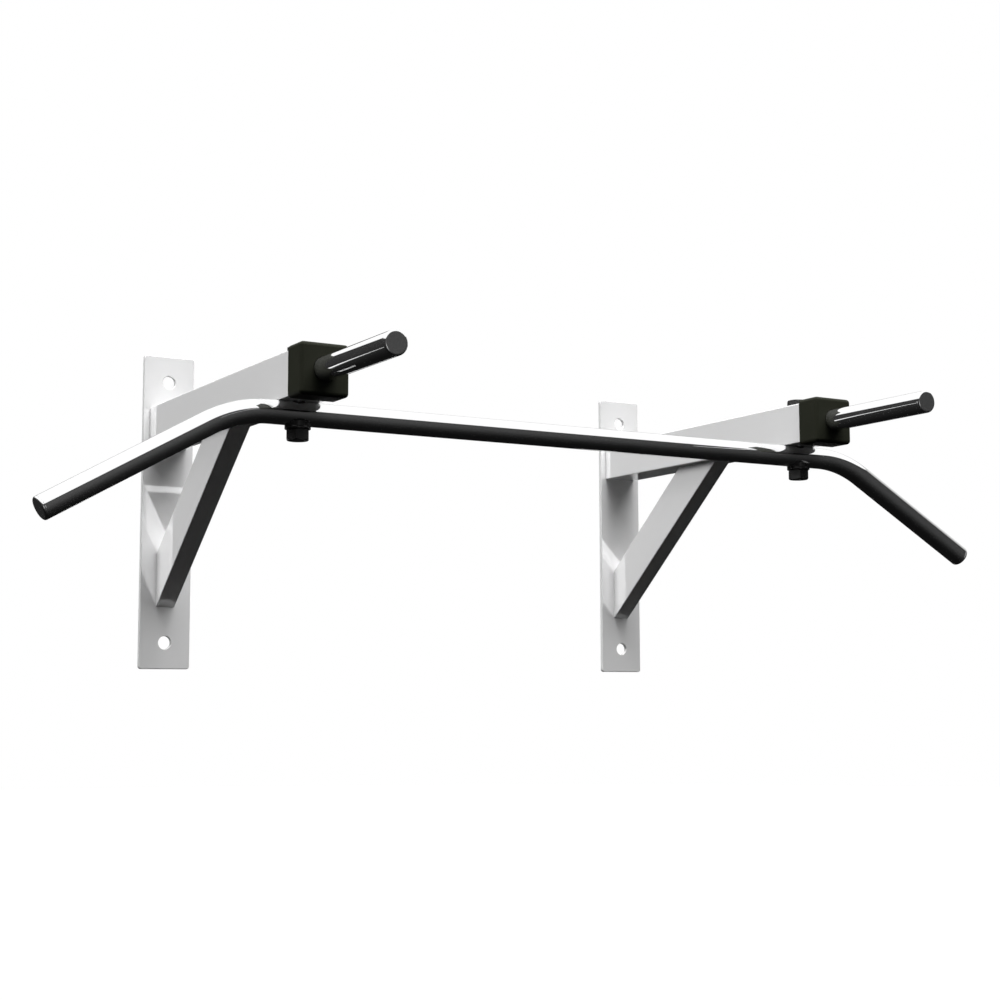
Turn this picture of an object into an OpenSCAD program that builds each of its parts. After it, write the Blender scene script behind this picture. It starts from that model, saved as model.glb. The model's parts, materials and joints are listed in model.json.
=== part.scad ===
// Wall-mounted pull-up bar: two welded wall brackets carry one bent round bar under their arms,
// and each arm ends in a block with a straight forward grip.
// Millimetres. The wall is the plane y = 0 and the room is on the -y side. +x runs to the right
// along the bar, +z is up, and the origin is the middle of the four wall holes.

/* [Overall] */
// Distance between the middles of the two brackets
bracket_spacing = 735; // [650:5:900]
// Distance from the wall to the axis of the pull-up bar
bar_reach = 430; // [350:1:560]
// Loose fit between a piece and the hole or tube that it slides into, on each side
fit_gap = 0.1; // [0.05:0.05:0.3]

/* [Wall plate] */
// Width of a wall plate
plate_w = 70; // [60:1:100]
// Height of a wall plate
plate_h = 420; // [400:5:480]
// Thickness of a wall plate
plate_t = 6; // [4:0.5:10]
// Corner radius of a wall plate
plate_corner_r = 4; // [1:0.5:10]
// Diameter of a wall hole
wall_hole_d = 17.5; // [10:0.5:20]
// Distance between the upper and the lower wall hole
wall_hole_spacing = 350; // [330:5:370]
// Chamfer on the front edge of a wall hole
wall_hole_chamfer = 0.8; // [0.2:0.1:1.5]

/* [Arm] */
// Outer width and height of the square arm tube
arm_size = 52; // [46:1:60]
// Wall of the arm tube
arm_wall = 3; // [2:0.5:4]
// Outer corner radius of the arm tube
arm_corner_r = 1.2; // [0.6:0.1:6]
// Height of the arm's axis above the middle of the wall holes
arm_rise = 113; // [100:1:120]
// Length of the arm tube in front of the bar's axis
arm_nose = 56; // [42:1:90]
// Thickness of the plate that closes the arm's front end
end_plate_t = 5; // [3:0.5:8]

/* [Brace] */
// Width of the brace tube, across the bracket
brace_w = 26; // [20:1:40]
// Depth of the brace tube, square to its length
brace_depth = 56; // [40:1:60]
// Wall of the brace tube
brace_wall = 2.5; // [1.5:0.5:4]
// Outer corner radius of the brace tube
brace_corner_r = 1.2; // [0.6:0.1:6]
// Height of the brace's lowest edge above the bottom of the wall plate
brace_foot_rise = 82; // [70:1:100]
// Distance from the wall plate to the brace's front edge under the arm
brace_reach = 260; // [220:1:300]

/* [End block] */
// Wall of the block round the arm
block_wall = 3.9; // [1.5:0.1:6]
// Length of the arm that the block covers
block_cover = 17; // [10:1:28]
// Thickness of the block's front wall
block_front_t = 12.5; // [6:0.5:20]
// Radius of the block's long edges and front edges
block_edge_r = 3; // [1:0.5:7]

/* [Handle] */
// Outer diameter of a handle
handle_d = 28; // [25:0.5:38]
// Wall of a handle tube
handle_wall = 3; // [2:0.5:4]
// Length of a handle in front of its block, with its cap
handle_reach = 171.5; // [120:0.5:220]

/* [Pull-up bar] */
// Outer diameter of the bar
bar_d = 28; // [25:0.5:34]
// Wall of the bar
bar_wall = 4; // [3:0.5:5]
// Straight length of bar between a bracket's middle and the start of the bend
bend_offset = 35; // [30:1:80]
// Bend radius of the bar, to its axis
bend_r = 150; // [80:5:220]
// Angle by which each end of the bar drops
bend_angle = 29.5; // [15:0.5:45]
// Straight length of bar from the bend to its end, with its cap
drop_length = 213; // [120:1:260]

/* [Tube caps] */
// Thickness of a cap's head, outside the tube
cap_head_t = 4; // [3:0.5:6]
// Radius of a cap's outer rim
cap_rim_r = 2; // [0.5:0.25:2.5]
// Length of a cap's shank, inside the tube
cap_shank = 16; // [8:1:30]
// Number of ribs on a cap's shank
cap_ribs = 3; // [1:1:4]
// Height of a rib above the shank
cap_rib_h = 0.8; // [0.4:0.1:1.2]

/* [Fasteners] */
// Diameter of the bolt that clamps the bar under the arm
bolt_d = 16; // [10:1:16]
// Diameter of the holes that the bolt passes through
bolt_hole_d = 17; // [16.5:0.5:18]
// Width across the flats of the bolt head and the nut
hex_flats = 24; // [22:1:28]
// Height of the bolt head
bolt_head_h = 10; // [6:0.5:13]
// Height of the nut
nut_h = 13; // [8:0.5:16]
// Chamfer on the bolt's lower end
bolt_end_chamfer = 1.5; // [0.5:0.25:3]
// Turn of the head and the nut about the bolt's axis, from flats that face the wall
hex_turn = 0; // [0:0.5:60]
// Diameter of the washers
washer_d = 30; // [28:0.5:34]
// Thickness of the flat washers
washer_t = 3; // [1.5:0.5:4]
// Thickness of the saddle washer under the bar, at its thinnest
saddle_web = 1; // [0.8:0.1:4]
// Height of the saddle washer's horns above the lowest line of the bar
saddle_horn = 4.5; // [2:0.5:8]
// Wall of the sleeve that keeps the bolt from crushing the arm
sleeve_wall = 3; // [2:0.5:5]

/* [Hidden] */
$fn = 96;

silver = [0.78, 0.78, 0.79];
dark_chrome = [0.30, 0.30, 0.31];
block_black = [0.13, 0.13, 0.11];
bolt_black = [0.10, 0.10, 0.10];
steel = [0.55, 0.56, 0.57];

// Side of the object: -1 is the left bracket and 1 is the right one
left = -1;
right = 1;
// Length by which a cutter runs past the face that it cuts
cut = 1;

// Heights and depths of the bracket
plate_bottom_z = -plate_h / 2;
arm_front_y = -bar_reach - arm_nose;
arm_length = -plate_t - arm_front_y;
arm_top_z = arm_rise + arm_size / 2;
arm_under_z = arm_rise - arm_size / 2;
arm_inner = arm_size - 2 * arm_wall;

// The brace runs from its lowest edge on the plate to its front edge under the arm
brace_foot_z = plate_bottom_z + brace_foot_rise;
brace_rise = arm_under_z - brace_foot_z;
brace_angle = atan2(brace_rise, brace_reach);
brace_run = norm([brace_rise, brace_reach]);

// End plate and block
end_plate_front_y = arm_front_y - end_plate_t;
block_size = arm_size + 2 * (fit_gap + block_wall);
block_back_y = arm_front_y + block_cover;
block_front_y = end_plate_front_y - block_front_t;
block_length = block_back_y - block_front_y;
grip_hole_d = handle_d + 2 * fit_gap;

// Handle
handle_tip_y = block_front_y - handle_reach;
handle_length = arm_front_y - handle_tip_y - cap_head_t;

// Bar: the straight middle, then on each side one bend and one straight drop
bar_z = arm_under_z - bar_d / 2;
bar_under_z = bar_z - bar_d / 2;
bend_start_x = bracket_spacing / 2 + bend_offset;
drop_tube = drop_length - cap_head_t;
// A ring a hair proud of the bar covers the line where the middle meets a bend
seam_proud = 0.02;
seam_width = 1;

// Fastener stack, from the arm's top face down to the bolt's end
head_under_z = arm_top_z + washer_t;
saddle_under_z = bar_under_z - saddle_web;
nut_top_z = saddle_under_z - washer_t;
nut_under_z = nut_top_z - nut_h;
bolt_length = head_under_z - nut_under_z;
thread_hole_d = bolt_d + 2 * fit_gap;
// Slope of the chamfer on the corners of a head or a nut
hex_chamfer_angle = 30;

// Square or rectangle with round corners, in the middle of its plane
module rounded_rect(w, h, r) {
    square([w - 2 * r, h], center = true);
    square([w, h - 2 * r], center = true);
    for (x = [-1, 1], y = [-1, 1])
        translate([x * (w / 2 - r), y * (h / 2 - r)])
            circle(r = r);
}

// Section of a rectangular tube with round corners
module box_section(w, h, wall, r) {
    difference() {
        rounded_rect(w, h, r);
        rounded_rect(w - 2 * wall, h - 2 * wall, max(r - wall, wall / 4));
    }
}

// Turns +z to -y, so that an extrusion runs from the wall into the room
module into_room() {
    rotate([90, 0, 0])
        children();
}

module at_bracket(side) {
    translate([side * bracket_spacing / 2, 0, 0])
        children();
}

// Places its children on both bolt axes, at height z
module on_bolt_axes(z) {
    for (side = [left, right])
        at_bracket(side)
            translate([0, -bar_reach, z])
                children();
}

// Places its children at the outer end of the bar's bend, with +z along the bar to its end
module at_drop(side) {
    mirror([side == left ? 1 : 0, 0, 0])
        translate([bend_start_x, 0, bar_z - bend_r])
            rotate([0, bend_angle, 0])
                translate([0, -bar_reach, bend_r])
                    rotate([0, 90, 0])
                        children();
}

// Through hole for the clamping bolt, in the arm and the bar
module bolt_hole(length) {
    cylinder(d = bolt_hole_d, h = length, center = true);
}

module wall_plate() {
    color(silver)
        difference() {
            into_room()
                linear_extrude(plate_t)
                    rounded_rect(plate_w, plate_h, plate_corner_r);
            for (z = [-wall_hole_spacing / 2, wall_hole_spacing / 2])
                translate([0, 0, z])
                    wall_hole();
        }
}

// Hole through the plate, with a chamfer on the room side
module wall_hole() {
    into_room() {
        translate([0, 0, -cut])
            cylinder(d = wall_hole_d, h = plate_t + 2 * cut);
        translate([0, 0, plate_t - wall_hole_chamfer])
            cylinder(d1 = wall_hole_d, d2 = wall_hole_d + 4 * wall_hole_chamfer, h = 2 * wall_hole_chamfer);
    }
}

module arm() {
    color(silver)
        difference() {
            translate([0, -plate_t, arm_rise])
                into_room()
                    linear_extrude(arm_length)
                        box_section(arm_size, arm_size, arm_wall, arm_corner_r);
            translate([0, -bar_reach, arm_rise])
                bolt_hole(arm_size + 2 * cut);
        }
}

// Slanted tube, cut square to the plate at its foot and level under the arm at its head
module brace() {
    overrun = brace_depth * 2;
    color(silver)
        intersection() {
            translate([0, -plate_t, brace_foot_z])
                rotate([-brace_angle, 0, 0])
                    translate([0, overrun, brace_depth / 2])
                        into_room()
                            linear_extrude(brace_run + 2 * overrun)
                                box_section(brace_w, brace_depth, brace_wall, brace_corner_r);
            translate([-brace_w, -plate_t - 2 * brace_reach, arm_under_z - 2 * brace_rise])
                cube([2 * brace_w, 2 * brace_reach, 2 * brace_rise]);
        }
}

// Closes the arm and carries the handle, which is welded into its hole
module end_plate() {
    color(silver)
        translate([0, arm_front_y, arm_rise])
            into_room()
                difference() {
                    linear_extrude(end_plate_t)
                        rounded_rect(arm_size, arm_size, arm_corner_r);
                    translate([0, 0, -cut])
                        cylinder(d = grip_hole_d, h = end_plate_t + 2 * cut);
                }
}

// Outside of the block: round long edges and round front edges, with a flat back
module block_shell() {
    r = block_edge_r;
    intersection() {
        linear_extrude(block_length)
            rounded_rect(block_size, block_size, r);
        for_side_view()
            block_side_outline(r);
        rotate([0, 0, 90])
            for_side_view()
                block_side_outline(r);
    }
}

// Extrudes a side outline, drawn as height against depth, across the whole block
module for_side_view() {
    rotate([90, 0, 0])
        linear_extrude(block_size, center = true)
            children();
}

// Side outline of the block, with the two front corners round
module block_side_outline(r) {
    translate([-block_size / 2, 0])
        square([block_size, block_length - r]);
    translate([-block_size / 2 + r, 0])
        square([block_size - 2 * r, block_length]);
    for (x = [-1, 1])
        translate([x * (block_size / 2 - r), block_length - r])
            circle(r = r);
}

// Moulded cover over the arm's end, with a socket for the arm and a hole for the handle
module end_block() {
    socket = arm_size + 2 * fit_gap;
    socket_depth = block_back_y - end_plate_front_y;
    color(block_black)
        translate([0, block_back_y, arm_rise])
            into_room()
                difference() {
                    block_shell();
                    translate([0, 0, -cut])
                        linear_extrude(socket_depth + cut)
                            rounded_rect(socket, socket, arm_corner_r + fit_gap);
                    cylinder(d = grip_hole_d, h = block_length + cut);
                }
}

module handle() {
    color(dark_chrome)
        translate([0, arm_front_y, arm_rise])
            into_room()
                difference() {
                    cylinder(d = handle_d, h = handle_length);
                    translate([0, 0, -cut])
                        cylinder(d = handle_d - 2 * handle_wall, h = handle_length + 2 * cut);
                }
}

// Cap for a tube's end, head up: a round-rimmed head over a ribbed shank
module tube_cap(tube_d, tube_wall) {
    head_r = tube_d / 2;
    bore_r = tube_d / 2 - tube_wall - fit_gap;
    core_r = bore_r - cap_rib_h;
    rib_pitch = cap_shank / (cap_ribs + 1);
    color(dark_chrome)
        union() {
            rotate_extrude() {
                square([head_r - cap_rim_r, cap_head_t]);
                square([head_r, cap_head_t - cap_rim_r]);
                translate([head_r - cap_rim_r, cap_head_t - cap_rim_r])
                    intersection() {
                        circle(r = cap_rim_r);
                        square(cap_rim_r);
                    }
            }
            translate([0, 0, -cap_shank])
                cylinder(r = core_r, h = cap_shank);
            for (i = [1 : cap_ribs])
                translate([0, 0, -i * rib_pitch])
                    cylinder(r1 = core_r, r2 = bore_r, h = rib_pitch / 2);
        }
}

module handle_cap() {
    translate([0, handle_tip_y + cap_head_t, arm_rise])
        into_room()
            tube_cap(handle_d, handle_wall);
}

// Two shallow cones, base to base, that join the straight middle to a bend
module seam_ring(d) {
    for (end = [0, 1])
        mirror([0, 0, end])
            cylinder(d1 = d + 2 * seam_proud, d2 = d - 2 * seam_proud, h = seam_width);
}

// Solid run of round bar along the bar's whole path
module bar_run(d) {
    translate([0, -bar_reach, bar_z])
        rotate([0, 90, 0])
            cylinder(d = d, h = 2 * bend_start_x, center = true);
    for (side = [left, right]) {
        mirror([side == left ? 1 : 0, 0, 0])
            translate([bend_start_x, -bar_reach, bar_z - bend_r])
                rotate([90, 0, 0])
                    rotate([0, 0, 90 - bend_angle])
                        rotate_extrude(angle = bend_angle)
                            translate([bend_r, 0])
                                circle(d = d);
        translate([side * bend_start_x, -bar_reach, bar_z])
            rotate([0, 90, 0])
                seam_ring(d);
        at_drop(side)
            cylinder(d = d, h = drop_tube);
    }
}

// One bent tube, drilled across at both brackets for the clamping bolts
module pull_up_bar() {
    color(dark_chrome)
        difference() {
            bar_run(bar_d);
            bar_run(bar_d - 2 * bar_wall);
            on_bolt_axes(bar_z)
                bolt_hole(bar_d + 2 * cut);
        }
}

module bar_cap(side) {
    at_drop(side)
        translate([0, 0, drop_tube])
            tube_cap(bar_d, bar_wall);
}

// Stands round the bolt between the arm's upper and lower wall
module arm_sleeve() {
    color(steel)
        translate([0, -bar_reach, arm_rise])
            difference() {
                cylinder(d = bolt_hole_d + 2 * sleeve_wall, h = arm_inner, center = true);
                bolt_hole(arm_inner + 2 * cut);
            }
}

// Cone that takes the corners off one end of a hexagon of height h
module hex_end_form(h) {
    corner_r = hex_flats / 2 / cos(30);
    drop = (corner_r - hex_flats / 2) * tan(hex_chamfer_angle);
    cylinder(r = corner_r, h = h - drop);
    translate([0, 0, h - drop])
        cylinder(r1 = corner_r, r2 = hex_flats / 2, h = drop);
}

// Hexagon with the corners of its top, and of its bottom too if both is true, chamfered
module hex_body(h, both) {
    rotate([0, 0, hex_turn])
        intersection() {
            cylinder(r = hex_flats / 2 / cos(30), h = h, $fn = 6);
            hex_end_form(h);
            if (both)
                translate([0, 0, h])
                    mirror([0, 0, 1])
                        hex_end_form(h);
            else
                cylinder(r = hex_flats, h = h);
        }
}

module hex_bolt() {
    color(bolt_black)
        union() {
            hex_body(bolt_head_h, false);
            translate([0, 0, bolt_end_chamfer - bolt_length])
                cylinder(d = bolt_d, h = bolt_length - bolt_end_chamfer);
            translate([0, 0, -bolt_length])
                cylinder(d1 = bolt_d - 2 * bolt_end_chamfer, d2 = bolt_d, h = bolt_end_chamfer);
        }
}

module hex_nut() {
    color(bolt_black)
        difference() {
            hex_body(nut_h, true);
            translate([0, 0, -cut])
                cylinder(d = thread_hole_d, h = nut_h + 2 * cut);
        }
}

module flat_washer() {
    color(bolt_black)
        difference() {
            cylinder(d = washer_d, h = washer_t);
            translate([0, 0, -cut])
                cylinder(d = bolt_hole_d, h = washer_t + 2 * cut);
        }
}

// Disc with a trough along x that hugs the underside of the bar
module saddle_washer() {
    height = saddle_web + saddle_horn;
    color(bolt_black)
        difference() {
            cylinder(d = washer_d, h = height);
            translate([0, 0, saddle_web + bar_d / 2])
                rotate([0, 90, 0])
                    cylinder(d = bar_d + 2 * fit_gap, h = washer_d + 2 * cut, center = true);
            translate([0, 0, -cut])
                cylinder(d = bolt_hole_d, h = height + 2 * cut);
        }
}

module left_wall_plate() { at_bracket(left) wall_plate(); }
module right_wall_plate() { at_bracket(right) wall_plate(); }
module left_arm() { at_bracket(left) arm(); }
module right_arm() { at_bracket(right) arm(); }
module left_brace() { at_bracket(left) brace(); }
module right_brace() { at_bracket(right) brace(); }
module left_end_plate() { at_bracket(left) end_plate(); }
module right_end_plate() { at_bracket(right) end_plate(); }
module left_end_block() { at_bracket(left) end_block(); }
module right_end_block() { at_bracket(right) end_block(); }
module left_handle() { at_bracket(left) handle(); }
module right_handle() { at_bracket(right) handle(); }
module left_handle_cap() { at_bracket(left) handle_cap(); }
module right_handle_cap() { at_bracket(right) handle_cap(); }
module left_bar_cap() { bar_cap(left); }
module right_bar_cap() { bar_cap(right); }
module left_arm_sleeve() { at_bracket(left) arm_sleeve(); }
module right_arm_sleeve() { at_bracket(right) arm_sleeve(); }
module hex_bolts() { on_bolt_axes(head_under_z) hex_bolt(); }
module top_washers() { on_bolt_axes(arm_top_z) flat_washer(); }
module saddle_washers() { on_bolt_axes(saddle_under_z) saddle_washer(); }
module lower_washers() { on_bolt_axes(nut_top_z) flat_washer(); }
module hex_nuts() { on_bolt_axes(nut_under_z) hex_nut(); }

left_wall_plate();
right_wall_plate();
left_arm();
right_arm();
left_brace();
right_brace();
left_end_plate();
right_end_plate();
left_end_block();
right_end_block();
left_handle();
right_handle();
left_handle_cap();
right_handle_cap();
pull_up_bar();
left_bar_cap();
right_bar_cap();
left_arm_sleeve();
right_arm_sleeve();
hex_bolts();
top_washers();
saddle_washers();
lower_washers();
hex_nuts();
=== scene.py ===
"""Wall-mounted pull-up bar: finishes, fine shapes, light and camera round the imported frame.

Metres. The wall is the plane y = 0 and the room is on the -y side. +x runs along the bar and +z
is up. Angles are written in degrees, and math.radians converts them.
"""

import json
import math
from contextlib import contextmanager

import bmesh
import bpy
from mathutils import Matrix, Vector


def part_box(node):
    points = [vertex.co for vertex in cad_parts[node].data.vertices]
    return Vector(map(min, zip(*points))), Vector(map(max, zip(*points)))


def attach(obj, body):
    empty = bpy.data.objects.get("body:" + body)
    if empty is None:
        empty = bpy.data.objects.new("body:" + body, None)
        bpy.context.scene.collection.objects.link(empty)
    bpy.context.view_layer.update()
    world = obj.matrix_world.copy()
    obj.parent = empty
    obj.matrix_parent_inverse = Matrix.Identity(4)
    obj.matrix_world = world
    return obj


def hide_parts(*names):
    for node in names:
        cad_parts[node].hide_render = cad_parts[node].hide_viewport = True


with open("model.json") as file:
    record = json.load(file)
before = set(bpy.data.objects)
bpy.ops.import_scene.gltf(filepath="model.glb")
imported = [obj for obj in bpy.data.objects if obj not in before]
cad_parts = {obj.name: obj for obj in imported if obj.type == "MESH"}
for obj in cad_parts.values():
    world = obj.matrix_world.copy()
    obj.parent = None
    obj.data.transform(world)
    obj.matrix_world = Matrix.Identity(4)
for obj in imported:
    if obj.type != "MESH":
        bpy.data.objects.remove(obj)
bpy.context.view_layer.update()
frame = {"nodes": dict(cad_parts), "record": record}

SIDES = (("left", -1), ("right", 1))
MM = 0.001
# Points closer than this are one point, in metres
WELD = 1e-7

# Places and sizes that the frame gives
bolts = {mount["name"]: mount for mount in frame["record"]["mounts"]}["wall_bolts"]["dims"]
plate_low, plate_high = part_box("right_wall_plate")
arm_low, arm_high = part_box("right_arm")
block_low, block_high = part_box("right_end_block")
handle_low, handle_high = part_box("right_handle")
bar_low, bar_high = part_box("pull_up_bar")
washer_low, washer_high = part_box("top_washers")
saddle_low, saddle_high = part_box("saddle_washers")
nut_low, nut_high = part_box("hex_nuts")

BRACKET_X = (plate_low.x + plate_high.x) / 2
PLATE_W, PLATE_T, PLATE_H = plate_high - plate_low
WALL_HOLE_D = 2 * bolts["hole_r_mm"] * MM
WALL_HOLE_SPACING = bolts["spacing_y_mm"] * MM
ARM_SIZE = arm_high.x - arm_low.x
ARM_Z = (arm_low.z + arm_high.z) / 2
BLOCK_SIZE = block_high.x - block_low.x
BLOCK_BACK_Y = block_high.y
HANDLE_D = handle_high.x - handle_low.x
BAR_D = bar_high.y - bar_low.y
BAR_Y = (bar_low.y + bar_high.y) / 2
BAR_Z = arm_low.z - BAR_D / 2
WASHER_D = washer_high.y - washer_low.y
WASHER_T = washer_high.z - washer_low.z
SADDLE_H = saddle_high.z - saddle_low.z

# Sizes that the frame's boxes don't show
HOLE_SIDES = 64
PLATE_CORNER_R = 4 * MM
PLATE_EDGE_R = 0.9 * MM
CAP_HEAD_T = 4 * MM
CAP_RIM_R = 2.65 * MM
CAP_SEAM = 0.45 * MM
CAP_SHANK = 16 * MM
CAP_RIBS = 3
CAP_RIB_H = 0.8 * MM
FIT_GAP = 0.1 * MM
HANDLE_WALL = 3 * MM
BAR_WALL = 4 * MM
BEND_START_X = BRACKET_X + 35 * MM
BEND_R = 150 * MM
BEND_ANGLE = math.radians(29.5)
BEND_TANGENT = BEND_R * math.tan(BEND_ANGLE / 2)
BAR_CORNER_X = BEND_START_X + BEND_TANGENT
DROP_TUBE = 209 * MM
BLOCK_EDGE_R = 5 * MM
BLOCK_SOCKET = ARM_SIZE + 2 * FIT_GAP
BLOCK_FRONT_T = 12.5 * MM
GRIP_HOLE_D = HANDLE_D + 2 * FIT_GAP
BOLT_D = 16 * MM
BOLT_HOLE_D = 17 * MM
THREAD_PITCH = 2 * MM
THREAD_DEPTH = 1.15 * MM
THREAD_ROOT_SHARE = 0.4
THREAD_LENGTH = 38 * MM
HEX_FLATS = 24 * MM
HEX_TOP_SHARE = 0.97
HEX_CHAMFER_ANGLE = math.radians(30)
BOLT_END_CHAMFER = 1.5 * MM
BOLT_END_TAPER = 0.5 * MM
BOLT_HEAD_H = 7.7 * MM
HEAD_FACE_T = 0.6 * MM
HEAD_FACE_SHARE = 0.475
NUT_MOUTH = 0.8 * MM
WASHER_EDGE_R = 0.8 * MM
FASTENER_EASE = 0.25 * MM
SADDLE_EASE = 0.3 * MM
BLOCK_EASE = 0.5 * MM


# Nodes

class Socket:
    """An output of a node. Arithmetic on it adds Math nodes to the node's tree."""

    def __init__(self, nodes, socket):
        self.nodes = nodes
        self.socket = socket

    def __add__(self, other):
        return self.nodes.math("ADD", self, other)

    def __radd__(self, other):
        return self.nodes.math("ADD", other, self)

    def __sub__(self, other):
        return self.nodes.math("SUBTRACT", self, other)

    def __rsub__(self, other):
        return self.nodes.math("SUBTRACT", other, self)

    def __mul__(self, other):
        return self.nodes.math("MULTIPLY", self, other)

    def __rmul__(self, other):
        return self.nodes.math("MULTIPLY", other, self)

    def __truediv__(self, other):
        return self.nodes.math("DIVIDE", self, other)

    def __pow__(self, other):
        return self.nodes.math("POWER", self, other)

    def __neg__(self):
        return self.nodes.math("MULTIPLY", self, -1.0)

    def clamped(self):
        return self.nodes.node("ShaderNodeClamp", {}, {"Value": self})


class Nodes:
    """A node tree that is built one node at a time."""

    def __init__(self, tree):
        self.tree = tree

    def node(self, kind, settings=None, sockets=None, output=0):
        """Adds a node with settings and with values or links in its sockets. Gives one output."""
        made = self.tree.nodes.new(kind)
        for name, value in (settings or {}).items():
            setattr(made, name, value)
        for key, value in (sockets or {}).items():
            if isinstance(value, Socket):
                self.tree.links.new(value.socket, made.inputs[key])
            else:
                made.inputs[key].default_value = value
        return Socket(self, made.outputs[output])

    def math(self, operation, *numbers):
        sockets = dict(enumerate(numbers))
        return self.node("ShaderNodeMath", {"operation": operation}, sockets)

    def split(self, vector):
        """The three numbers of a vector."""
        first = self.node("ShaderNodeSeparateXYZ", {}, {0: vector})
        return [Socket(self, output) for output in first.socket.node.outputs]


class Finish(Nodes):
    """A material: a Principled shader whose changing inputs are built from Object coordinates."""

    def __init__(self, name, **constants):
        self.material = bpy.data.materials.new(name)
        self.material.use_nodes = True
        super().__init__(self.material.node_tree)
        self.shader = self.tree.nodes["Principled BSDF"]
        for key, value in constants.items():
            self.shader.inputs[key.replace("_", " ")].default_value = value
        self.place = self.node("ShaderNodeTexCoord", output="Object")

    def noise(self, scale, detail=2.0, roughness=0.5, stretch=None):
        """Smooth noise from 0 to 1 with about scale waves a metre, or more along stretched axes."""
        place = self.place
        if stretch:
            sockets = {0: place, 1: stretch}
            place = self.node("ShaderNodeVectorMath", {"operation": "MULTIPLY"}, sockets)
        sockets = {"Vector": place, "Scale": scale, "Detail": detail, "Roughness": roughness}
        return self.node("ShaderNodeTexNoise", {}, sockets)

    def between(self, low, high, share):
        """A number or a colour from low to high by a share from 0 to 1."""
        if isinstance(low, (int, float)):
            return low + (high - low) * share
        sockets = {0: share, 6: (*low, 1.0), 7: (*high, 1.0)}
        return self.node("ShaderNodeMix", {"data_type": "RGBA"}, sockets, output=2)

    def drive(self, **inputs):
        """Links outputs to the shader's inputs of the same names."""
        for key, value in inputs.items():
            self.tree.links.new(value.socket, self.shader.inputs[key.replace("_", " ")])
        return self

    def bump(self, height, depth):
        """Raises the surface by depth metres where height is 1."""
        sockets = {"Strength": 1.0, "Distance": depth, "Height": height}
        return self.drive(Normal=self.node("ShaderNodeBump", {}, sockets))


# Finishes

def silver_enamel():
    """Light grey gloss paint that mirrors its neighbours, with a faint orange peel."""
    finish = Finish("silver_enamel", Metallic=0.36, IOR=1.5)
    cloud = finish.noise(9.0, detail=3.0)
    peel = finish.noise(420.0, detail=1.0)
    dust = finish.noise(1900.0, detail=2.0)
    return finish.drive(
        Base_Color=finish.between((0.90, 0.90, 0.905), (0.94, 0.94, 0.94), cloud),
        Roughness=finish.between(0.012, 0.03, cloud) + 0.012 * dust,
    ).bump(peel, 1e-6).material


def mirror_chrome():
    """Polished chrome plate, with a trace of polishing haze that takes some light of its own."""
    finish = Finish("mirror_chrome", Metallic=0.973)
    haze = finish.noise(60.0, detail=4.0)
    cloud = finish.noise(7.0)
    return finish.drive(
        Base_Color=finish.between((0.975, 0.98, 0.985), (1.0, 1.0, 1.0), cloud),
        Roughness=finish.between(0.01, 0.03, haze),
    ).material


def moulded_black():
    """Matt black moulded plastic with a fine spark-eroded grain."""
    finish = Finish("moulded_black", IOR=1.18)
    grain = finish.noise(1400.0, detail=4.0, roughness=0.7)
    cloud = finish.noise(25.0)
    return finish.drive(
        Base_Color=finish.between((0.0130, 0.0140, 0.0095), (0.0165, 0.0175, 0.0125), cloud),
        Roughness=finish.between(0.45, 0.60, grain),
    ).bump(grain, 6e-6).material


def black_oxide():
    """Oiled black steel of the fasteners."""
    finish = Finish("black_oxide", IOR=1.9)
    mottle = finish.noise(350.0, detail=4.0)
    return finish.drive(
        Base_Color=finish.between((0.034, 0.034, 0.034), (0.042, 0.042, 0.041), mottle),
        Roughness=finish.between(0.10, 0.14, mottle),
    ).bump(mottle, 1e-6).material


def cut_steel():
    """Bare steel tube of the hidden sleeves, with turning marks."""
    finish = Finish("cut_steel", Metallic=1.0)
    marks = finish.noise(300.0, detail=3.0, stretch=(1.0, 1.0, 12.0))
    return finish.drive(
        Base_Color=finish.between((0.50, 0.51, 0.52), (0.60, 0.60, 0.61), marks),
        Roughness=finish.between(0.25, 0.40, marks),
    ).bump(marks, 1e-5).material


FINISHES = {
    "bracket_paint": silver_enamel(),
    "chrome": mirror_chrome(),
    "end_block": moulded_black(),
    "black_fastener": black_oxide(),
    "plain_steel": cut_steel(),
}


# Pieces

def new_object(name, data):
    piece = bpy.data.objects.new(name, data)
    bpy.context.scene.collection.objects.link(piece)
    return piece


def object_of(shape, name):
    """Makes an object of a bmesh, which is used up."""
    mesh = bpy.data.meshes.new(name)
    shape.to_mesh(mesh)
    shape.free()
    return new_object(name, mesh)


@contextmanager
def open_mesh(piece):
    """The piece's mesh as a bmesh, which is written back at the end."""
    shape = bmesh.new()
    shape.from_mesh(piece.data)
    yield shape
    shape.to_mesh(piece.data)
    shape.free()


def settle(piece):
    """Turns a piece with its modifiers and its place into one plain mesh at the origin."""
    name = piece.name
    bpy.context.view_layer.update()
    evaluated = piece.evaluated_get(bpy.context.evaluated_depsgraph_get())
    mesh = bpy.data.meshes.new_from_object(evaluated)
    mesh.transform(piece.matrix_world)
    bpy.data.objects.remove(piece)
    mesh.name = name
    return new_object(name, mesh)


def modify(piece, kind, **settings):
    """Adds a modifier with its settings."""
    modifier = piece.modifiers.new(kind.title(), kind)
    for name, value in settings.items():
        setattr(modifier, name, value)
    return modifier


def smooth(piece, sharpest=35):
    """Shades smooth over edges up to an angle, and keeps flat faces flat."""
    piece.data.shade_smooth()
    piece.data.set_sharp_from_angle(angle=math.radians(sharpest))
    modify(piece, "WEIGHTED_NORMAL", keep_sharp=True, weight=50)
    return settle(piece)


def finish_piece(piece, slot, node):
    """Gives a piece the finish of its slot, puts it in the root body, and hides the CAD node that
    it stands for.
    """
    piece.data.materials.clear()
    piece.data.materials.append(FINISHES[slot])
    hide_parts(node)
    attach(piece, "root")


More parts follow.
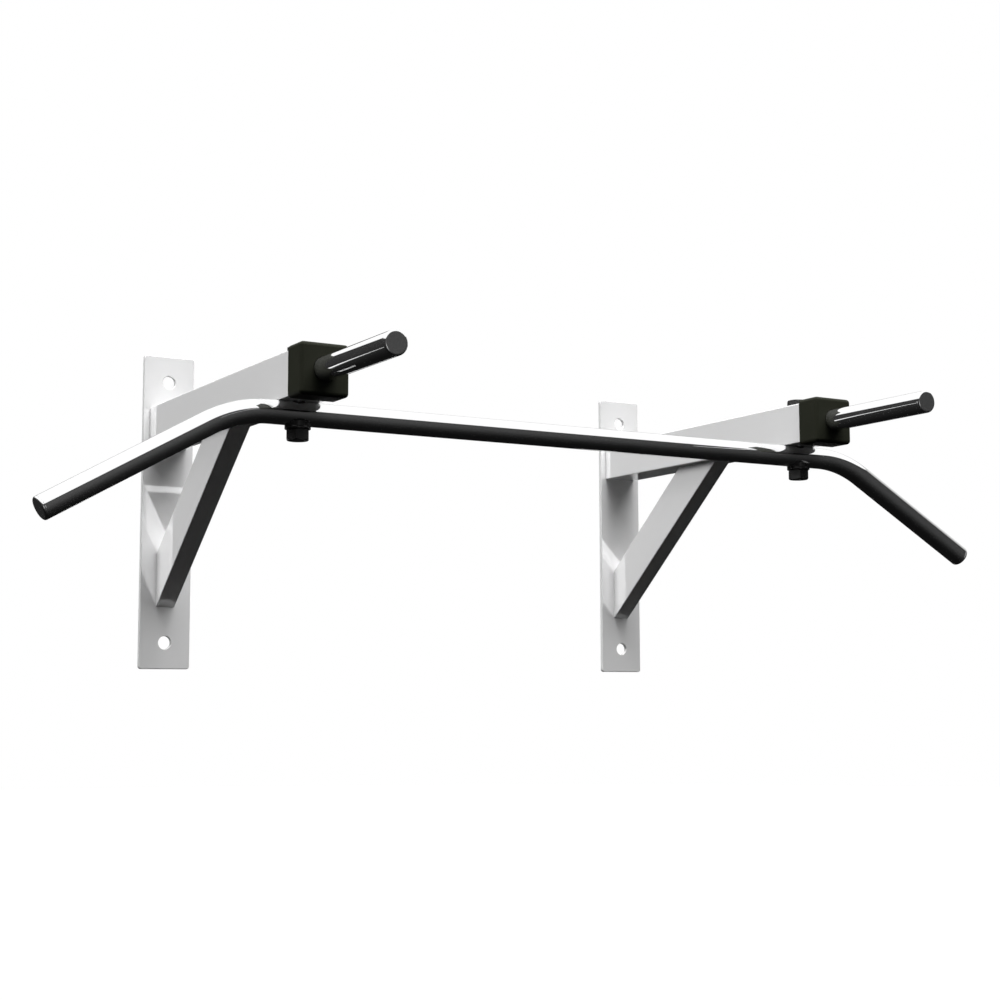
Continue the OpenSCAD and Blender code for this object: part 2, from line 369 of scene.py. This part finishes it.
def cut(piece, cutter, operation="DIFFERENCE"):
    """Cuts a piece with another one, which is used up."""
    modify(piece, "BOOLEAN", operation=operation, object=cutter, solver="EXACT")
    result = settle(piece)
    bpy.data.objects.remove(cutter)
    return result


def turned(name, profile, sides=96):
    """A solid turned about z from a closed outline of (radius, height) points."""
    shape = bmesh.new()
    points = [shape.verts.new((radius, 0, height)) for radius, height in profile]
    edges = [shape.edges.new(pair) for pair in zip(points, points[1:] + points[:1])]
    bmesh.ops.spin(shape, geom=points + edges, axis=(0, 0, 1), cent=(0, 0, 0),
                   angle=math.tau, steps=sides)
    bmesh.ops.remove_doubles(shape, verts=shape.verts, dist=WELD)
    empty = [face for face in shape.faces if face.calc_area() < WELD * WELD]
    bmesh.ops.delete(shape, geom=empty, context="FACES")
    bmesh.ops.recalc_face_normals(shape, faces=shape.faces)
    return object_of(shape, name)


def arc(centre, radius, start, end, steps):
    """Points on an arc, with its ends."""
    angles = [math.radians(start + (end - start) * i / steps) for i in range(steps + 1)]
    return [(centre[0] + radius * math.cos(a), centre[1] + radius * math.sin(a)) for a in angles]


def rounded_outline(width, height, radius, steps=8):
    """Points round a rectangle with round corners, about the origin."""
    x, y = width / 2 - radius, height / 2 - radius
    corners = ((x, y, 0), (-x, y, 90), (-x, -y, 180), (x, -y, 270))
    return [
        point for cx, cy, start in corners
        for point in arc((cx, cy), radius, start, start + 90, steps)
    ]


Z_TO_ROOM = Matrix.Rotation(math.radians(90), 4, "X")
Z_TO_X = Matrix.Rotation(math.radians(90), 4, "Y")


def box(name, low, high):
    shape = bmesh.new()
    bmesh.ops.create_cube(shape, size=1.0)
    size, middle = Vector(high) - Vector(low), (Vector(low) + Vector(high)) / 2
    place = Matrix.Translation(middle) @ Matrix.Diagonal((*size, 1))
    bmesh.ops.transform(shape, verts=shape.verts, matrix=place)
    return object_of(shape, name)


def along_y(piece, x, y, z):
    """Lays a piece that stands on z along y, with its top towards the room."""
    piece.data.transform(Matrix.Translation((x, y, z)) @ Z_TO_ROOM)
    return piece


# Geometry trees

class Recipe(Nodes):
    """A Geometry Nodes tree with named inputs."""

    def __init__(self, name, inputs):
        super().__init__(bpy.data.node_groups.new(name, "GeometryNodeTree"))
        face = self.tree.interface
        face.new_socket(name="Geometry", in_out="INPUT", socket_type="NodeSocketGeometry")
        face.new_socket(name="Geometry", in_out="OUTPUT", socket_type="NodeSocketGeometry")
        for title, kind in inputs.items():
            face.new_socket(name=title, in_out="INPUT", socket_type=kind)
        self.entry = self.tree.nodes.new("NodeGroupInput")

    def given(self, title):
        """The value of a named input."""
        return Socket(self, self.entry.outputs[title])

    def returns(self, geometry):
        """Ends the tree with plain geometry in the given material."""
        realized = self.node("GeometryNodeRealizeInstances", {}, {0: geometry})
        sockets = {0: realized, "Material": self.given("Material")}
        finished = self.node("GeometryNodeSetMaterial", {}, sockets)
        exit_node = self.tree.nodes.new("NodeGroupOutput")
        self.tree.links.new(finished.socket, exit_node.inputs[0])

    def identifier(self, title):
        for item in self.tree.interface.items_tree:
            if item.in_out == "INPUT" and item.name == title:
                return item.identifier
        raise KeyError(title)

    def apply(self, piece, **values):
        """Runs the tree on a piece and returns the plain result."""
        modifier = modify(piece, "NODES", node_group=self.tree)
        for title, value in values.items():
            modifier[self.identifier(title.replace("_", " "))] = value
        return settle(piece)


def tube_recipe():
    """A round rod along the piece's own line of points, with its corners bent to a radius."""
    recipe = Recipe("bent_tube", {
        "Diameter": "NodeSocketFloat",
        "Bend radius": "NodeSocketFloat",
        "Bend steps": "NodeSocketInt",
        "Sides": "NodeSocketInt",
        "Material": "NodeSocketMaterial",
    })
    line = recipe.node("GeometryNodeMeshToCurve", {}, {0: recipe.given("Geometry")})
    bent = recipe.node("GeometryNodeFilletCurve", {"mode": "POLY"}, {
        "Curve": line,
        "Radius": recipe.given("Bend radius"),
        "Count": recipe.given("Bend steps"),
    })
    ring = recipe.node("GeometryNodeCurvePrimitiveCircle", {"mode": "RADIUS"}, {
        "Resolution": recipe.given("Sides"),
        "Radius": recipe.given("Diameter") / 2,
    })
    swept = recipe.node("GeometryNodeCurveToMesh", {}, {"Curve": bent, "Profile Curve": ring})
    recipe.returns(swept)
    return recipe


def thread_recipe():
    """A screw thread: a ridge wound up z round a core."""
    recipe = Recipe("screw_thread", {
        "Core radius": "NodeSocketFloat",
        "Pitch": "NodeSocketFloat",
        "Depth": "NodeSocketFloat",
        "Turns": "NodeSocketFloat",
        "Material": "NodeSocketMaterial",
    })
    core, turns = recipe.given("Core radius"), recipe.given("Turns")
    helix = recipe.node("GeometryNodeCurveSpiral", {}, {
        "Resolution": 40,
        "Rotations": turns,
        "Start Radius": core,
        "End Radius": core,
        "Height": turns * recipe.given("Pitch"),
    })
    upright = recipe.node("GeometryNodeSetCurveNormal", {"mode": "Z_UP"}, {"Curve": helix})
    ridge = recipe.node("GeometryNodeCurvePrimitiveCircle", {"mode": "RADIUS"}, {
        "Resolution": 3,
        "Radius": recipe.given("Depth"),
    })
    swept = recipe.node("GeometryNodeCurveToMesh", {}, {
        "Curve": upright,
        "Profile Curve": ridge,
        "Fill Caps": True,
    })
    parts = recipe.node("GeometryNodeJoinGeometry", {}, {0: swept})
    recipe.tree.links.new(recipe.given("Geometry").socket, parts.socket.node.inputs[0])
    recipe.returns(parts)
    return recipe


def bolt_axes_recipe():
    """Sets a copy of the piece on each of a row of points along x, in front of the wall."""
    recipe = Recipe("on_bolt_axes", {
        "Count": "NodeSocketInt",
        "Spacing": "NodeSocketFloat",
        "Reach": "NodeSocketFloat",
        "Height": "NodeSocketFloat",
        "Material": "NodeSocketMaterial",
    })
    count, spacing = recipe.given("Count"), recipe.given("Spacing")
    start = recipe.node("ShaderNodeCombineXYZ", {}, {
        "X": -spacing * (count - 1) / 2,
        "Y": -recipe.given("Reach"),
        "Z": recipe.given("Height"),
    })
    step = recipe.node("ShaderNodeCombineXYZ", {}, {"X": spacing})
    points = recipe.node("GeometryNodeMeshLine", {"mode": "OFFSET"}, {
        "Count": count,
        "Start Location": start,
        "Offset": step,
    })
    placed = recipe.node("GeometryNodeInstanceOnPoints", {}, {
        "Points": points,
        "Instance": recipe.given("Geometry"),
    })
    recipe.returns(placed)
    return recipe


BENT_TUBE = tube_recipe()
SCREW_THREAD = thread_recipe()
ON_BOLT_AXES = bolt_axes_recipe()


# Chrome tubes

def line_of_points(name, points):
    mesh = bpy.data.meshes.new(name)
    mesh.from_pydata(points, [(i, i + 1) for i in range(len(points) - 1)], [])
    return new_object(name, mesh)


def chrome_tube(node, points, diameter, wall, bend_r=0.0):
    """A hollow chrome tube along points, open at both ends for its caps."""
    piece = BENT_TUBE.apply(
        line_of_points(node + "_tube", points),
        Diameter=diameter, Bend_radius=bend_r, Bend_steps=40, Sides=96,
        Material=FINISHES["chrome"],
    )
    with open_mesh(piece) as shape:
        bmesh.ops.recalc_face_normals(shape, faces=shape.faces)
    modify(piece, "SOLIDIFY", thickness=wall, offset=-1.0, use_rim=True)
    finish_piece(smooth(settle(piece)), "chrome", node)


def pull_up_bar():
    """The bent bar: its corners lie where the straight middle and the drops would meet."""
    (left_end, left_way), (right_end, right_way) = bar_end(-1), bar_end(1)
    corners = [(-BAR_CORNER_X, BAR_Y, BAR_Z), (BAR_CORNER_X, BAR_Y, BAR_Z)]
    chrome_tube("pull_up_bar", [left_end, *corners, right_end], BAR_D, BAR_WALL, BEND_R)
    tube_cap("left_bar_cap", BAR_D, BAR_WALL, left_end, left_way)
    tube_cap("right_bar_cap", BAR_D, BAR_WALL, right_end, right_way)


def bar_end(sign):
    """The end of the bar's tube and the direction in which it points."""
    along = Vector((sign * math.cos(BEND_ANGLE), 0, -math.sin(BEND_ANGLE)))
    corner = Vector((sign * BAR_CORNER_X, BAR_Y, BAR_Z))
    return corner + (BEND_TANGENT + DROP_TUBE) * along, along


def handle(side, sign):
    x = sign * BRACKET_X
    root, tip = (x, handle_high.y, ARM_Z), Vector((x, handle_low.y, ARM_Z))
    chrome_tube(f"{side}_handle", [root, tip], HANDLE_D, HANDLE_WALL)
    tube_cap(f"{side}_handle_cap", HANDLE_D, HANDLE_WALL, tip, (0, -1, 0))


def tube_cap(node, tube_d, tube_wall, seat, direction):
    """A head with a round rim that closes a tube, and a ribbed shank that is pushed into it."""
    head_r, bore_r = tube_d / 2, tube_d / 2 - tube_wall - FIT_GAP
    core_r = bore_r - CAP_RIB_H
    rib_pitch = CAP_SHANK / (CAP_RIBS + 1)
    profile = [(0, -CAP_SHANK), (core_r, -CAP_SHANK)]
    for i in range(CAP_RIBS, 0, -1):
        foot = -i * rib_pitch
        profile += [(core_r, foot), (bore_r, foot + rib_pitch / 2), (core_r, foot + rib_pitch / 2)]
    profile += [(core_r, 0), (head_r - CAP_SEAM, 0), (head_r, CAP_SEAM)]
    profile += arc((head_r - CAP_RIM_R, CAP_HEAD_T - CAP_RIM_R), CAP_RIM_R, 0, 90, 10)
    profile.append((0, CAP_HEAD_T))
    piece = turned(node + "_head", profile)
    turn = Vector((0, 0, 1)).rotation_difference(Vector(direction)).to_matrix().to_4x4()
    piece.data.transform(Matrix.Translation(seat) @ turn)
    finish_piece(smooth(piece), "chrome", node)


# Brackets

def wall_plate(side, sign):
    """Flat plate with round corners, rounded edges and two wall holes.

    It is a filled curve with a bevel, whose loops run at the bevel's depth from the true edges.
    """
    outline = bpy.data.curves.new(f"{side}_wall_plate_body", "CURVE")
    outline.dimensions = "2D"
    outline.fill_mode = "BOTH"
    outline.extrude = PLATE_T / 2 - PLATE_EDGE_R
    outline.bevel_depth = PLATE_EDGE_R
    outline.bevel_resolution = 3
    width, height = PLATE_W - 2 * PLATE_EDGE_R, PLATE_H - 2 * PLATE_EDGE_R
    loops = [rounded_outline(width, height, PLATE_CORNER_R - PLATE_EDGE_R)]
    last = 360 - 360 / HOLE_SIDES
    for z in (-WALL_HOLE_SPACING / 2, WALL_HOLE_SPACING / 2):
        hole = arc((0, z), WALL_HOLE_D / 2 + PLATE_EDGE_R, 0, last, HOLE_SIDES - 1)
        loops.append(hole[::-1])
    for loop in loops:
        spline = outline.splines.new("POLY")
        spline.points.add(len(loop) - 1)
        for point, (x, y) in zip(spline.points, loop):
            point.co = (x, y, 0, 1)
        spline.use_cyclic_u = True
    piece = settle(new_object(outline.name, outline))
    along_y(piece, sign * BRACKET_X, -PLATE_T / 2, 0)
    with open_mesh(piece) as shape:
        bmesh.ops.remove_doubles(shape, verts=shape.verts, dist=10 * WELD)
        bmesh.ops.recalc_face_normals(shape, faces=shape.faces)
    finish_piece(smooth(piece), "bracket_paint", f"{side}_wall_plate")


def end_block(side, sign):
    """Moulded cover with round edges, a socket for the arm and a hole for the handle."""
    def square_bar(name, size, front_y, back_y):
        low = (sign * BRACKET_X - size / 2, front_y, ARM_Z - size / 2)
        high = (sign * BRACKET_X + size / 2, back_y, ARM_Z + size / 2)
        return box(name, low, high)

    cover = square_bar(f"{side}_end_block_cover", BLOCK_SIZE, block_low.y, BLOCK_BACK_Y)
    with open_mesh(cover) as shape:
        round_edges = [
            edge for edge in shape.edges
            if min(vert.co.y for vert in edge.verts) < BLOCK_BACK_Y - 10 * WELD
        ]
        bmesh.ops.bevel(shape, geom=round_edges, offset=BLOCK_EDGE_R, segments=8, profile=0.5,
                        affect="EDGES", clamp_overlap=True)
    socket_floor = block_low.y + BLOCK_FRONT_T
    cover = cut(cover, square_bar("socket", BLOCK_SOCKET, socket_floor, BLOCK_BACK_Y + MM))
    bore_r, bore_length = GRIP_HOLE_D / 2, BLOCK_BACK_Y - block_low.y + MM
    bore = turned("bore", [(0, 0), (bore_r, 0), (bore_r, bore_length), (0, bore_length)])
    cover = cut(cover, along_y(bore, sign * BRACKET_X, BLOCK_BACK_Y, ARM_Z))
    modify(cover, "BEVEL", width=BLOCK_EASE, segments=3, limit_method="ANGLE",
           angle_limit=math.radians(60), use_clamp_overlap=False, harden_normals=False)
    finish_piece(smooth(settle(cover)), "end_block", f"{side}_end_block")


# Fasteners

def at_both_bolts(piece, node, z):
    """Sets one copy of a fastener on each clamping bolt's axis, at height z."""
    slot = "black_fastener"
    placed = ON_BOLT_AXES.apply(
        piece, Count=2, Spacing=2 * BRACKET_X, Reach=-BAR_Y, Height=z, Material=FINISHES[slot],
    )
    finish_piece(smooth(placed, sharpest=50), slot, node)


def hexagon(name, height, both_ends):
    """A hexagon whose corners are turned off on its top, and below too if asked."""
    corner = HEX_FLATS / 2 / math.cos(math.radians(30))
    crown = corner + MM
    flat = HEX_FLATS / 2 * HEX_TOP_SHARE
    drop = (crown - flat) * math.tan(HEX_CHAMFER_ANGLE)
    low = [(0, 0), (flat, 0), (crown, drop)] if both_ends else [(0, 0), (crown, 0)]
    form = turned(name + "_form", low + [(crown, height - drop), (flat, height), (0, height)])
    prism = turned(name, [(0, 0), (corner, 0), (corner, height), (0, height)], sides=6)
    return cut(prism, form, "INTERSECT")


def eased(piece, width=FASTENER_EASE, angle=25):
    """Takes the sharpness off a fastener's edges where they turn by more than an angle."""
    modify(piece, "BEVEL", width=width, segments=2, limit_method="ANGLE",
           angle_limit=math.radians(angle), use_clamp_overlap=True)
    return settle(piece)


def joined(name, *pieces):
    """One object of several meshes."""
    shape = bmesh.new()
    for piece in pieces:
        shape.from_mesh(piece.data)
        bpy.data.objects.remove(piece)
    return object_of(shape, name)


def hex_bolts():
    """Head, washer face, plain shank and a threaded end. At z = 0 the head sits on its washer."""
    head = hexagon("bolt_head", BOLT_HEAD_H - HEAD_FACE_T, both_ends=False)
    head.data.transform(Matrix.Translation((0, 0, HEAD_FACE_T)))
    head = eased(head)
    length = washer_high.z - nut_low.z
    face_r, shank_r = HEX_FLATS * HEAD_FACE_SHARE, BOLT_D / 2
    core_r = shank_r - THREAD_DEPTH
    thread_top = THREAD_LENGTH - length
    shank = turned("bolt_shank", [
        (0, HEAD_FACE_T), (face_r, HEAD_FACE_T), (face_r, 0),
        (shank_r, 0), (shank_r, thread_top + MM),
        (core_r, thread_top), (core_r, BOLT_END_CHAMFER - length),
        (core_r - BOLT_END_TAPER, -length), (0, -length),
    ])
    thread = SCREW_THREAD.apply(
        new_object("bolt_thread", bpy.data.meshes.new("bolt_thread")),
        Core_radius=core_r + THREAD_DEPTH * THREAD_ROOT_SHARE,
        Pitch=THREAD_PITCH,
        Depth=THREAD_DEPTH * (1 - THREAD_ROOT_SHARE),
        Turns=(THREAD_LENGTH - BOLT_END_CHAMFER - MM) / THREAD_PITCH,
        Material=FINISHES["black_fastener"],
    )
    thread.data.transform(Matrix.Translation((0, 0, BOLT_END_CHAMFER + MM / 2 - length)))
    bolt = joined("hex_bolt_pair", head, shank, thread)
    at_both_bolts(bolt, "hex_bolts", washer_high.z)


def hex_nuts():
    """Nuts with both ends chamfered and a bore whose mouths are countersunk."""
    height = nut_high.z - nut_low.z
    nut = hexagon("hex_nut_pair", height, both_ends=True)
    bore_r = BOLT_D / 2 + FIT_GAP
    mouth_r = bore_r + NUT_MOUTH + MM
    bore = turned("nut_bore", [
        (0, -MM), (mouth_r, -MM), (bore_r, NUT_MOUTH),
        (bore_r, height - NUT_MOUTH), (mouth_r, height + MM), (0, height + MM),
    ])
    nut = eased(cut(nut, bore))
    at_both_bolts(nut, "hex_nuts", nut_low.z)


def flat_washers(name, node, z):
    """Punched washers with round edges."""
    outer, inner = WASHER_D / 2 - WASHER_EDGE_R, BOLT_HOLE_D / 2 + WASHER_EDGE_R
    low, high = WASHER_EDGE_R, WASHER_T - WASHER_EDGE_R
    corners = ((outer, low), (outer, high), (inner, high), (inner, low))
    profile = []
    for corner, start in zip(corners, (-90, 0, 90, 180)):
        profile += arc(corner, WASHER_EDGE_R, start, start + 90, 3)
    at_both_bolts(turned(name, profile), node, z)


def saddle_washers():
    """Discs with a trough along x that hugs the underside of the bar."""
    outer, inner = WASHER_D / 2, BOLT_HOLE_D / 2
    section = [(inner, 0), (outer, 0), (outer, SADDLE_H), (inner, SADDLE_H)]
    disc = turned("saddle_washer_pair", section)
    radius, half = BAR_D / 2 + FIT_GAP, WASHER_D
    rod = [(0, -half), (radius, -half), (radius, half), (0, half)]
    trough = turned("trough", rod, sides=128)
    trough.data.transform(Matrix.Translation((0, 0, BAR_Z - saddle_low.z)) @ Z_TO_X)
    saddle = eased(cut(disc, trough), SADDLE_EASE, angle=40)
    at_both_bolts(saddle, "saddle_washers", saddle_low.z)


def dress_cad_nodes():
    """Gives every CAD node the finish that its record slot names."""
    for part in frame["record"]["subparts"]:
        node = frame["nodes"][part["node"]]
        for slot in node.material_slots:
            slot.material = FINISHES[part["material_slot"]]


dress_cad_nodes()
pull_up_bar()
for side, sign in SIDES:
    wall_plate(side, sign)
    end_block(side, sign)
    handle(side, sign)
hex_bolts()
hex_nuts()
flat_washers("top_washer_pair", "top_washers", washer_low.z)
flat_washers("lower_washer_pair", "lower_washers", nut_high.z)
saddle_washers()


# Studio

AMBIENT = 0.45
FLOOR_Z = -3.3
FLOOR_R = 60.0
FLOOR_T = 0.05
FLOOR_GREY = 0.42
FLOOR_LIT_R = 14.0
FLOOR_GLOW_NEAR = 0.1
DRAPE_FLOOR_Z = -3.2
DRAPE_RIM_Z = 9.2
DRAPE_SPAN_X = 33.0
DRAPE_SPAN_Y = 37.4
DRAPE_CORNER_R = 10.0
DRAPE_LEVEL = 3
DRAPE_FALL = 20
DRAPE_FALL_ROOMWARD = 14
DRAPE_AHEAD_POWER = 8
DRAPE_AXIS_GUARD = 0.01
DRAPE_GLOW = 0.075
DRAPE_GLOW_LEAST = 0.004
# Painted reflection: the grey that mirrors see in the drapes, apart from the grey that lights the
# faces
DRAPE_MIRROR_GLOW = 0.045
DRAPE_MIRROR_BACK_SHARE = 0.18
DRAPE_BACK_SHARE = 0.45
# Painted reflections: a bright strip and a window in the drapes, which only mirrors see and which
# light nothing
REFLECTION_STRIP_GLOW = 0.9
REFLECTION_STRIP_AZIMUTH = -14
REFLECTION_STRIP_SPREAD = 7
REFLECTION_STRIP_LEVEL = -9
REFLECTION_STRIP_RISE = 12
REFLECTION_WINDOW_FROM = 87
REFLECTION_WINDOW_TO = 136
REFLECTION_WINDOW_SILL = 9
REFLECTION_WINDOW_GLOW = 0.55
LAMP_DISTANCE = 6.0
LAMP_SIZE = 4.0
LAMP_TARGET = Vector((0, -0.3, 0))


def world_light():
    """White to the camera and to mirrors, and an even pale light to everything else."""
    world = bpy.data.worlds.new("studio")
    bpy.context.scene.world = world
    world.use_nodes = True
    nodes = Nodes(world.node_tree)
    camera_ray, glossy_ray, transmitted_ray = [
        nodes.node("ShaderNodeLightPath", output=f"Is {kind} Ray")
        for kind in ("Camera", "Glossy", "Transmission")
    ]
    shows = (camera_ray + glossy_ray + transmitted_ray).clamped()
    strength = AMBIENT + (1 - AMBIENT) * shows
    background = world.node_tree.nodes["Background"]
    background.inputs["Color"].default_value = (1, 1, 1, 1)
    world.node_tree.links.new(strength.socket, background.inputs["Strength"])


def glow(name, build):
    """A material that only shines, in the grey that build makes from the place on the object."""
    material = bpy.data.materials.new(name)
    material.use_nodes = True
    nodes = Nodes(material.node_tree)
    material.node_tree.nodes.remove(material.node_tree.nodes["Principled BSDF"])
    place = nodes.node("ShaderNodeTexCoord", output="Object")
    grey = build(nodes, place)
    color = nodes.node("ShaderNodeCombineXYZ", {}, {0: grey, 1: grey, 2: grey})
    shine = nodes.node("ShaderNodeEmission", {}, {"Color": color, "Strength": 1.0})
    surface = material.node_tree.nodes["Material Output"].inputs["Surface"]
    material.node_tree.links.new(shine.socket, surface)
    return material


def drape_grey(nodes, place):
    """The grey of the drapes by direction from the object. Mirrors see a grey of their own, and two
    painted reflections that light nothing: a bright strip and a window.
    """
    x, y, z = nodes.split(place)
    away = (x * x + y * y) ** 0.5
    roomward = (1 - y / (away + DRAPE_AXIS_GUARD)) * 0.5
    ahead = roomward ** DRAPE_AHEAD_POWER
    side_glow = DRAPE_GLOW * (DRAPE_BACK_SHARE + (1 - DRAPE_BACK_SHARE) * ahead)
    # Painted reflection: mirrors see this grey of the drapes, not the one that lights the faces
    mirror_share = DRAPE_MIRROR_BACK_SHARE + (1 - DRAPE_MIRROR_BACK_SHARE) * ahead
    mirror_glow = DRAPE_MIRROR_GLOW * mirror_share
    mirrored = nodes.node("ShaderNodeLightPath", output="Is Glossy Ray")
    level = nodes.math("ARCTAN2", z, away)
    azimuth = nodes.math("ARCTAN2", x, -y)
    fall = math.radians(DRAPE_FALL) + math.radians(DRAPE_FALL_ROOMWARD) * roomward
    off_level = (level - math.radians(DRAPE_LEVEL)) / fall
    falling = nodes.math("EXPONENT", -(off_level * off_level))
    # Painted reflection: a bright upright strip ahead and a little to the left, seen only in
    # mirrors
    off_strip = (azimuth - math.radians(REFLECTION_STRIP_AZIMUTH)) / math.radians(REFLECTION_STRIP_SPREAD)
    off_rise = (level - math.radians(REFLECTION_STRIP_LEVEL)) / math.radians(REFLECTION_STRIP_RISE)
    painted_strip = nodes.math("EXPONENT", -(off_strip * off_strip + off_rise * off_rise))
    # Painted reflection: a bright window on the wall side to the right, seen only in mirrors
    painted_window = (
        nodes.math("GREATER_THAN", azimuth, math.radians(REFLECTION_WINDOW_FROM))
        * nodes.math("LESS_THAN", azimuth, math.radians(REFLECTION_WINDOW_TO))
        * nodes.math("GREATER_THAN", level, math.radians(REFLECTION_WINDOW_SILL))
    )
    # Mirrors see the painted reflection grey, and faces are lit by the other
    seen_glow = side_glow + (mirror_glow - side_glow) * mirrored
    # The painted reflections shine only in mirrors
    painted_reflections = REFLECTION_STRIP_GLOW * painted_strip + REFLECTION_WINDOW_GLOW * painted_window
    return DRAPE_GLOW_LEAST + falling * seen_glow + painted_reflections * mirrored


def dark_surround():
    """Dark drapes on four sides and below, with the white world above their rim.

    Mirrors and shaded faces see them. The camera doesn't, and lamps shine through them.
    """
    shape = bmesh.new()
    outline = rounded_outline(DRAPE_SPAN_X, DRAPE_SPAN_Y, DRAPE_CORNER_R, 24)
    rings = [[shape.verts.new((x, y, z)) for x, y in outline] for z in (DRAPE_FLOOR_Z, DRAPE_RIM_Z)]
    shape.faces.new(rings[0])
    for i in range(len(outline)):
        shape.faces.new((rings[0][i - 1], rings[1][i - 1], rings[1][i], rings[0][i]))
    drape = object_of(shape, "dark_surround")
    drape.data.materials.append(glow("dark_drape", drape_grey))
    drape.visible_camera = False
    drape.visible_shadow = False


def floor():
    """Plain pale floor, which turns white to the camera where the lamps don't reach."""
    piece = turned("floor", [(0, 0), (FLOOR_R, 0), (FLOOR_R, -FLOOR_T), (0, -FLOOR_T)])
    piece.data.transform(Matrix.Translation((0, 0, FLOOR_Z)))
    base = (FLOOR_GREY, FLOOR_GREY, FLOOR_GREY, 1)
    finish = Finish("pale_floor", Base_Color=base, Roughness=0.9, Emission_Strength=1.0)
    seen = finish.node("ShaderNodeLightPath", output="Is Camera Ray")
    x, y, _ = finish.split(finish.place)
    away = (x * x + y * y) ** 0.5
    far = (away / FLOOR_LIT_R).clamped()
    white = (FLOOR_GLOW_NEAR + (1 - FLOOR_GLOW_NEAR) * far) * seen
    color = finish.node("ShaderNodeCombineXYZ", {}, {0: white, 1: white, 2: white})
    piece.data.materials.append(finish.drive(Emission_Color=color).material)


def softbox(name, azimuth, elevation, power):
    """A square lamp that looks at the object's middle. Azimuth 0 is the room side, and 90 is +x.

    Mirrors see the white of the world in its place, so that no lamp's edge shows in the chrome.
    """
    lamp = bpy.data.lights.new(name, "AREA")
    lamp.shape = "SQUARE"
    lamp.size = LAMP_SIZE
    lamp.energy = power
    piece = new_object(name, lamp)
    piece.visible_glossy = False
    a, e = math.radians(azimuth), math.radians(elevation)
    towards = Vector((math.sin(a) * math.cos(e), -math.cos(a) * math.cos(e), math.sin(e)))
    piece.location = LAMP_TARGET + LAMP_DISTANCE * towards
    piece.rotation_mode = "QUATERNION"
    piece.rotation_quaternion = towards.to_track_quat("Z", "Y")
    piece.visible_camera = False


def camera():
    """The photograph's view: from the left, a little below, looking up."""
    place = Vector((-1.186, -2.264, -0.249))
    heading = math.radians(-30.63)
    pitch = math.radians(6.37)
    roll = math.radians(-0.15)
    focal_px = 1771.66
    picture_px = 1000
    data = bpy.data.cameras.new("camera")
    data.sensor_fit = "HORIZONTAL"
    data.sensor_width = 36.0
    data.lens = focal_px * data.sensor_width / picture_px
    piece = new_object("camera", data)
    piece.location = place
    piece.rotation_mode = "QUATERNION"
    level = Matrix.Rotation(heading, 3, "Z") @ Matrix.Rotation(math.radians(90) + pitch, 3, "X")
    piece.rotation_quaternion = (level @ Matrix.Rotation(roll, 3, "Z")).to_quaternion()
    bpy.context.scene.camera = piece


world_light()
dark_surround()
floor()
softbox("left_softbox", azimuth=-110, elevation=30, power=363)
softbox("top_softbox", azimuth=-20, elevation=75, power=555)
softbox("front_softbox", azimuth=20, elevation=50, power=395)
camera()

scene = bpy.context.scene
scene.view_settings.view_transform = "Standard"
